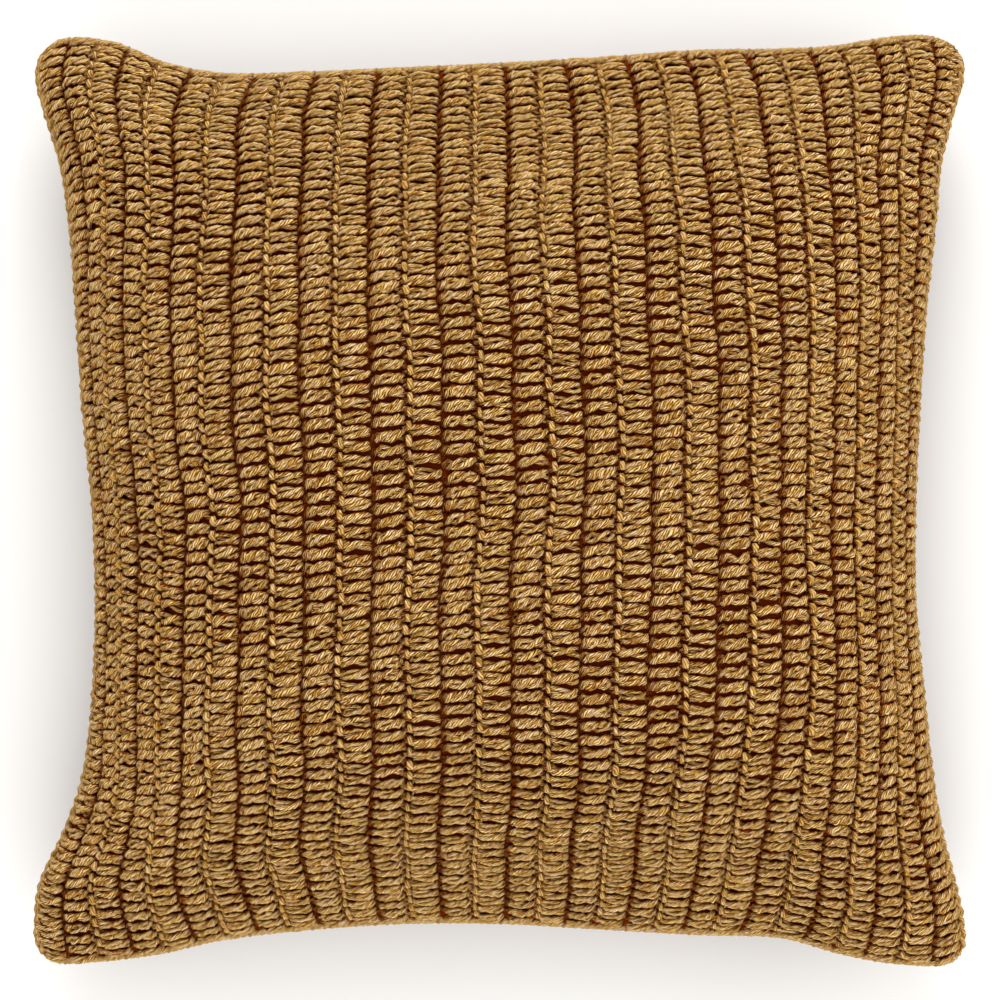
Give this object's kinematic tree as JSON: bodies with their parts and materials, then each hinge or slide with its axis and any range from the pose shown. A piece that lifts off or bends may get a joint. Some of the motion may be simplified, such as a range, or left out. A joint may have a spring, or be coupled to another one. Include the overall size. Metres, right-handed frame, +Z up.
{
  "type": "crocheted throw cushion",
  "caption": "Square filled throw cushion in thick crochet, with rows of stitches from edge to edge, a full crown and soft ears.",
  "frame": {"origin": "middle of the underside, on the surface that the cushion lies on", "axes": "+Z up through the cushion's thickness, +Y along the rows of stitches, +X across the rows"},
  "size_m": [0.5382, 0.5386, 0.181],
  "materials": {
    "yarn": "thick plied cotton yarn in mottled ochre gold, brown between the stitches"
  },
  "bodies": {
    "root": {"cushion": "yarn"}
  },
  "joints": []
}
